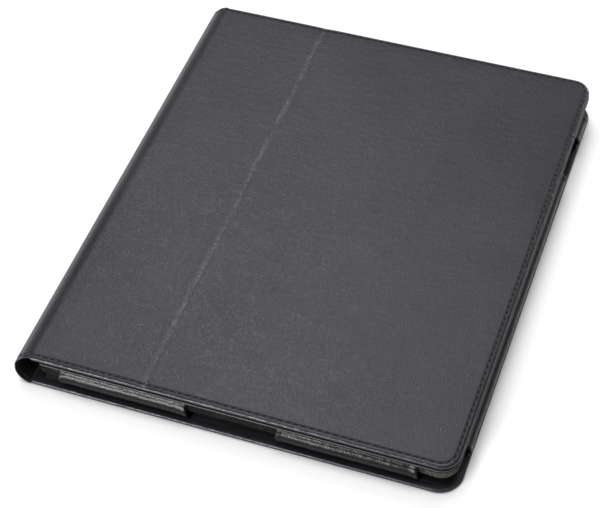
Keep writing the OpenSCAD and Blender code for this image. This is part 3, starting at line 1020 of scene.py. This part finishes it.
class Shader:
    """A new material and short ways to add its nodes."""

    def __init__(self, name, **surface):
        self.material = bpy.data.materials.new(name)
        self.material.use_nodes = True
        self.tree = self.material.node_tree
        self.surface = self.tree.nodes["Principled BSDF"]
        for socket, value in surface.items():
            self.surface.inputs[socket.replace("_", " ")].default_value = value

    def node(self, kind, inputs, output=0, **settings):
        """Adds a node. inputs maps a socket's name or number to a value or to another node's socket."""
        made = self.tree.nodes.new("ShaderNode" + kind)
        for key, value in settings.items():
            setattr(made, key, value)
        for key, value in inputs.items():
            self.put(made.inputs[key], value)
        return made.outputs[output]

    def put(self, socket, value):
        if isinstance(value, bpy.types.NodeSocket):
            self.tree.links.new(value, socket)
        else:
            socket.default_value = value

    def rest(self):
        """Place on the case at rest, in metres, so that the grain keeps still when a piece bends."""
        return self.node("Attribute", {}, "Vector", attribute_name="rest")

    def wear_and_light(self):
        return self.node("Attribute", {}, "Fac", attribute_name="wear_and_light")

    def math(self, operation, a, b=0.0):
        return self.node("Math", {0: a, 1: b}, operation=operation)

    def times(self, a, b):
        return self.math("MULTIPLY", a, b)

    def noise(self, at, lump_mm, detail=3.0, rough=0.5):
        """Noise from 0 to 1 with lumps of that size."""
        scale = 1 / (lump_mm * MM)
        return self.node("TexNoise", {"Vector": at, "Scale": scale, "Detail": detail, "Roughness": rough})

    def stretch(self, at, x, y, z):
        return self.node("Mapping", {"Vector": at, "Scale": (x, y, z)})

    def ramp(self, value, low, high, out_low=0.0, out_high=1.0):
        ends = {"Value": value, "From Min": low, "From Max": high, "To Min": out_low, "To Max": out_high}
        return self.node("MapRange", ends, interpolation_type="SMOOTHSTEP")

    def mix(self, share, a, b):
        """Mixes two colours."""
        made = self.tree.nodes.new("ShaderNodeMix")
        made.data_type = "RGBA"
        self.put(made.inputs[0], share)
        self.put(made.inputs[6], (*a, 1.0) if isinstance(a, tuple) else a)
        self.put(made.inputs[7], (*b, 1.0) if isinstance(b, tuple) else b)
        return made.outputs[2]

    def bump(self, height, depth_mm, under=None):
        inputs = {"Height": height, "Distance": depth_mm * MM, "Strength": 1.0}
        if under is not None:
            inputs["Normal"] = under
        return self.node("Bump", inputs)

    def finish(self, color=None, roughness=None, normal=None):
        for socket, value in (("Base Color", color), ("Roughness", roughness), ("Normal", normal)):
            if value is not None:
                self.put(self.surface.inputs[socket], value)
        return self.material


def pebbles(shader, at, cell_mm):
    """Pebbled grain: rounded cells with narrow valleys, from 0 in a valley to 1."""
    lumps = 1 / (2.2 * cell_mm * MM)
    drift = shader.node("TexNoise", {"Vector": at, "Scale": lumps, "Detail": 2.0}, "Color")
    shifted = shader.node("VectorMath", {0: drift, 1: (-0.5, -0.5, -0.5)}, operation="ADD")
    scaled = shader.node("VectorMath", {0: shifted, "Scale": 1.3 * cell_mm * MM}, operation="SCALE")
    moved = shader.node("VectorMath", {0: at, 1: scaled}, operation="ADD")
    cells = shader.node("TexVoronoi", {"Vector": moved, "Scale": 1 / (cell_mm * MM)}, "Distance",
                        feature="DISTANCE_TO_EDGE")
    return shader.ramp(cells, 0.0, 0.30)


def crease_mask(shader, at):
    """1 along the cover's crease, broken up as rubbed leather is."""
    across = shader.node("SeparateXYZ", {0: at})
    height = across.node.outputs[2]
    slow = shader.noise(shader.stretch(at, 0.0, 1.0, 0.0), 45, 1.0)
    wander = shader.times(shader.math("SUBTRACT", slow, 0.5), 0.0022)
    off = shader.math("SUBTRACT", shader.math("SUBTRACT", across, CREASE_X * MM), wander)
    near = shader.ramp(shader.math("ABSOLUTE", off), 0.0004, 0.0019, 1.0, 0.0)
    speckle = shader.ramp(shader.noise(at, 1.4, 3.0, 0.7), 0.38, 0.62)
    long_gaps = shader.ramp(shader.noise(shader.stretch(at, 0.2, 1.0, 0.2), 9, 2.0), 0.30, 0.60, 0.35, 1.0)
    upper = shader.ramp(height, 0.0175, 0.0185)
    return shader.times(shader.times(near, speckle), shader.times(long_gaps, upper))


def outer_leather_material():
    shader = Shader("outer_leather", Specular_IOR_Level=0.30, Specular_Tint=(0.97, 0.96, 1.04, 1.0))
    at = shader.rest()
    rubbed = shader.ramp(shader.wear_and_light(), 0.0, 1.0)
    groove_shade = shader.ramp(shader.wear_and_light(), 0.0, -0.8)
    grain = pebbles(shader, at, 1.0)
    fine = shader.noise(at, 0.4, 2.0)
    wrinkle = shader.noise(shader.stretch(at, 0.40, 1.0, 1.0), 2.6, 4.0, 0.6)
    broad = shader.noise(at, 34, 2.0)
    tone = shader.mix(shader.ramp(broad, 0.3, 0.7), (0.0120, 0.0114, 0.0146), (0.0170, 0.0162, 0.0200))
    folds = shader.mix(shader.ramp(wrinkle, 0.35, 0.65, 0.0, 0.45), tone, (0.0060, 0.0057, 0.0074))
    valley = shader.mix(shader.times(grain, 0.5), folds, tone)
    patches = shader.ramp(shader.noise(at, 1.6, 3.0), 0.35, 0.7, 0.05, 0.5)
    edge = shader.mix(shader.times(rubbed, patches), valley, (0.018, 0.017, 0.020))
    # painted shade: where wear_and_light goes below 0, in the seams' grooves, the colour is nearly black
    groove = shader.mix(groove_shade, edge, (0.003, 0.003, 0.004))
    color = shader.mix(shader.times(crease_mask(shader, at), 0.7), groove, (0.085, 0.083, 0.091))
    rough = shader.ramp(wrinkle, 0.3, 0.7, 0.43, 0.36)
    rough = shader.math("ADD", rough, shader.times(rubbed, -0.20))
    rough = shader.math("ADD", rough, shader.times(groove_shade, 0.45))
    low = shader.bump(wrinkle, 0.17)
    mid = shader.bump(grain, 0.045, low)
    top = shader.bump(fine, 0.01, mid)
    return shader.finish(color, rough, top)


def gusset_leather_material():
    shader = Shader("gusset_leather", Specular_IOR_Level=0.12)
    at = shader.rest()
    grain = pebbles(shader, at, 1.1)
    folds = shader.noise(shader.stretch(at, 0.7, 0.7, 1.4), 1.9, 3.0, 0.6)
    wear_and_light = shader.wear_and_light()
    # rubbed leather and painted sheen: the colour is lighter along the top of the roll, where wear_and_light is
    # high, mottled by the folds
    tone = shader.mix(shader.times(wear_and_light, shader.ramp(folds, 0.42, 0.62)), (0.0018, 0.0018, 0.0021),
                      (0.0060, 0.0059, 0.0064))
    rough = shader.ramp(folds, 0.3, 0.7, 0.26, 0.15)
    low = shader.bump(folds, 0.10)
    top = shader.bump(grain, 0.018, low)
    return shader.finish(tone, rough, top)


def bezel_leather_material():
    shader = Shader("bezel_leather", Specular_IOR_Level=0.45)
    at = shader.rest()
    grain = pebbles(shader, at, 0.7)
    broad = shader.noise(at, 25, 2.0)
    wear_and_light = shader.wear_and_light()
    tone = shader.mix(shader.ramp(broad, 0.3, 0.7), (0.011, 0.011, 0.012), (0.016, 0.016, 0.017))
    color = shader.mix(shader.times(wear_and_light, 0.25), tone, (0.05, 0.049, 0.05))
    rough = shader.ramp(broad, 0.3, 0.7, 0.40, 0.46)
    return shader.finish(color, rough, shader.bump(grain, 0.045))


def lining_material():
    shader = Shader("lining_microfibre", Sheen_Weight=0.04, Sheen_Roughness=0.5, Specular_IOR_Level=0.05)
    at = shader.rest()
    nap = shader.noise(at, 0.25, 3.0, 0.7)
    brushed = shader.noise(shader.stretch(at, 0.6, 1.0, 1.0), 14, 3.0, 0.6)
    tone = shader.mix(shader.ramp(brushed, 0.35, 0.65), (0.0034, 0.0034, 0.0038), (0.0052, 0.0052, 0.0058))
    color = shader.mix(shader.ramp(nap, 0.4, 0.7, 0.0, 0.4), tone, (0.010, 0.010, 0.0112))
    return shader.finish(color, 0.92, shader.bump(nap, 0.05))


def backing_material():
    """Knitted backing cloth that shows at cut edges."""
    shader = Shader("knit_backing", Specular_IOR_Level=0.05)
    at = shader.rest()
    loops = shader.node("TexVoronoi", {"Vector": at, "Scale": 1 / (0.55 * MM)}, "Distance")
    fibres = shader.noise(at, 1.0, 4.0, 0.8)
    # painted light: wear_and_light lightens the knit round the free side of the frame's band, as light that falls
    # in at the corner cut-outs, and rubbing lightens the top of raw edges; the noise adds random lighter specks
    painted_light_wear_specks = shader.math("ADD", shader.times(shader.wear_and_light(), 0.7),
                       shader.ramp(shader.noise(at, 5, 3.0, 0.6), 0.52, 0.72, 0.0, 0.25))
    dark = shader.mix(painted_light_wear_specks, (0.0015, 0.0015, 0.0015), (0.030, 0.028, 0.025))
    light = shader.mix(painted_light_wear_specks, (0.012, 0.0118, 0.0115), (0.16, 0.15, 0.133))
    tone = shader.mix(shader.ramp(fibres, 0.40, 0.62), dark, light)
    color = shader.mix(shader.ramp(loops, 0.2, 0.7, 0.0, 0.6), tone, (0.006, 0.006, 0.006))
    return shader.finish(color, 0.9, shader.bump(fibres, 0.25))


def board_material():
    shader = Shader("fibreboard", Specular_IOR_Level=0.2)
    at = shader.node("TexCoord", {}, "Object")
    fibres = shader.noise(shader.stretch(at, 1.0, 0.3, 1.0), 0.8, 4.0, 0.7)
    tone = shader.mix(shader.ramp(fibres, 0.35, 0.65), (0.20, 0.175, 0.14), (0.33, 0.29, 0.235))
    return shader.finish(tone, 0.88, shader.bump(fibres, 0.08))


def thread_material():
    shader = Shader("thread", Sheen_Weight=0.2, Specular_IOR_Level=0.35)
    at = shader.rest()
    twist = shader.noise(at, 0.22, 2.0, 0.6)
    tone = shader.mix(shader.ramp(twist, 0.35, 0.65), (0.006, 0.006, 0.007), (0.022, 0.022, 0.024))
    return shader.finish(tone, 0.6, shader.bump(twist, 0.06))


def board_nodes():
    """The boards keep their CAD shape."""
    material = board_material()
    for name in ("back_board", "bezel_board", "narrow_cover_board", "wide_cover_board"):
        mesh = frame["nodes"][name].data
        mesh.materials.clear()
        mesh.materials.append(material)


# ---- studio


def floor():
    bm = bmesh.new()
    bmesh.ops.create_grid(bm, x_segments=2, y_segments=2, size=6.0)
    mesh = bpy.data.meshes.new("floor")
    bm.to_mesh(mesh)
    bm.free()
    obj = bpy.data.objects.new("floor", mesh)
    shader = Shader("floor_paper", Specular_IOR_Level=0.2)
    at = shader.node("TexCoord", {}, "Object")
    tone = shader.mix(shader.noise(at, 700, 2.0), (0.86, 0.86, 0.865), (0.89, 0.89, 0.895))
    mesh.materials.append(shader.finish(tone, 0.8))
    bpy.context.scene.collection.objects.link(obj)


def area_light(name, place, width, height, watts):
    """Soft light at a place in metres, turned to the case."""
    data = bpy.data.lights.new(name, "AREA")
    data.shape = "RECTANGLE"
    data.size = width
    data.size_y = height
    data.energy = watts
    obj = bpy.data.objects.new(name, data)
    obj.location = place
    obj.rotation_mode = "QUATERNION"
    obj.rotation_quaternion = (-Vector(place)).to_track_quat("-Z", "Y")
    bpy.context.scene.collection.objects.link(obj)


def lights():
    world = bpy.data.worlds.new("studio")
    world.use_nodes = True
    sky = world.node_tree.nodes["Background"]
    sky.inputs["Color"].default_value = (1.0, 1.0, 1.0, 1.0)
    sky.inputs["Strength"].default_value = 0.30
    bpy.context.scene.world = world
    area_light("key", (-0.40, 0.74, 1.22), 0.5, 0.5, 9.6)
    area_light("overhead", (0.10, -0.10, 1.80), 1.0, 1.0, 20)
    area_light("front", (-0.40, -1.15, 0.24), 0.5, 0.35, 19)
    area_light("side", (0.50, 1.15, 0.26), 0.4, 0.3, 4)


def camera():
    """At the photograph's angle: right of the case's middle, a little rolled."""
    azimuth, elevation, roll = (math.radians(a) for a in (21.809, 48.679, -3.112))
    distance, shift_right, shift_up = 0.855385, -0.011045, -0.007732
    back = Vector((math.sin(azimuth) * math.cos(elevation), -math.cos(azimuth) * math.cos(elevation),
                   math.sin(elevation)))
    right = Vector((math.cos(azimuth), math.sin(azimuth), 0))
    up = back.cross(right)
    place = back * distance + right * shift_right + up * shift_up
    turned_right = right * math.cos(roll) + up * math.sin(roll)
    turned_up = up * math.cos(roll) - right * math.sin(roll)
    data = bpy.data.cameras.new("camera")
    data.lens = 105.98
    data.sensor_width = 36.0
    obj = bpy.data.objects.new("camera", data)
    turned = Matrix((turned_right, turned_up, back)).transposed()
    obj.matrix_world = Matrix.Translation(place) @ turned.to_4x4()
    bpy.context.scene.collection.objects.link(obj)
    bpy.context.scene.camera = obj


LEATHER_OUTER = outer_leather_material()
LEATHER_GUSSET = gusset_leather_material()
LEATHER_BEZEL = bezel_leather_material()
LINING_CLOTH = lining_material()
BACKING = backing_material()
THREAD = thread_material()

bpy.context.scene.view_settings.view_transform = "Standard"
camera()
lights()
floor()

back_panel_leather()
spine_leather()
narrow_cover_leather()
crease_leather()
wide_cover_leather()
sleeve_floor()
spine_lining()
cover_lining()
gussets()
bezel_leather()
bezel_lining()
bezel_lining_band()
tuck_flap()
stand_flap()
cover_stitching()
spine_stitching()
back_stitching()
stand_flap_stitching()
bezel_stitching()
board_nodes()
